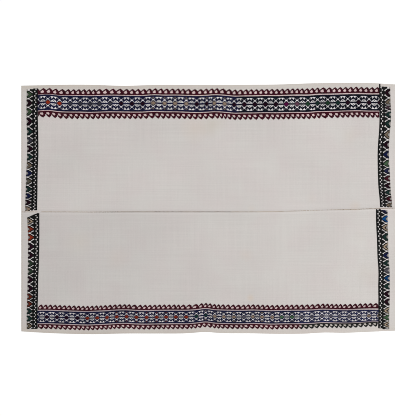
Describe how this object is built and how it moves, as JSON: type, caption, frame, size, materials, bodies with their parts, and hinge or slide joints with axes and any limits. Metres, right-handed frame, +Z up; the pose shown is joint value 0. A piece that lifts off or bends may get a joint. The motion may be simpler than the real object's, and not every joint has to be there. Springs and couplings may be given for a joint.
{
  "type": "kilim rug",
  "caption": "Flat off-white wool kilim of two long panels sewn together along the middle, with brocaded geometric bands on all four sides.",
  "frame": {"origin": "middle of the underside of the whole rug, on the surface it lies on", "axes": "+X along the panels and the seam, +Y across them towards the far long edge, +Z up, out of the patterned face"},
  "size_m": [2.262, 1.5204, 0.0029],
  "materials": {
    "far_wool": "undyed off-white wool, plain weave, matt",
    "near_wool": "undyed off-white wool, plain weave, matt, a little greyer",
    "joining_thread": "dark brown wool thread",
    "hem_thread": "grey-beige thread",
    "white_yarn": "bleached white brocading yarn",
    "navy_yarn": "navy wool yarn",
    "black_yarn": "black wool yarn",
    "maroon_yarn": "maroon wool yarn",
    "magenta_yarn": "magenta wool yarn",
    "orange_yarn": "orange-red wool yarn",
    "green_yarn": "mid-green wool yarn",
    "dark_green_yarn": "dark green wool yarn",
    "blue_yarn": "blue wool yarn",
    "slate_yarn": "slate blue wool yarn",
    "beige_yarn": "beige wool yarn",
    "olive_yarn": "olive grey wool yarn"
  },
  "bodies": {
    "root": {"far_panel": "far_wool", "near_panel": "near_wool"}
  },
  "joints": []
}
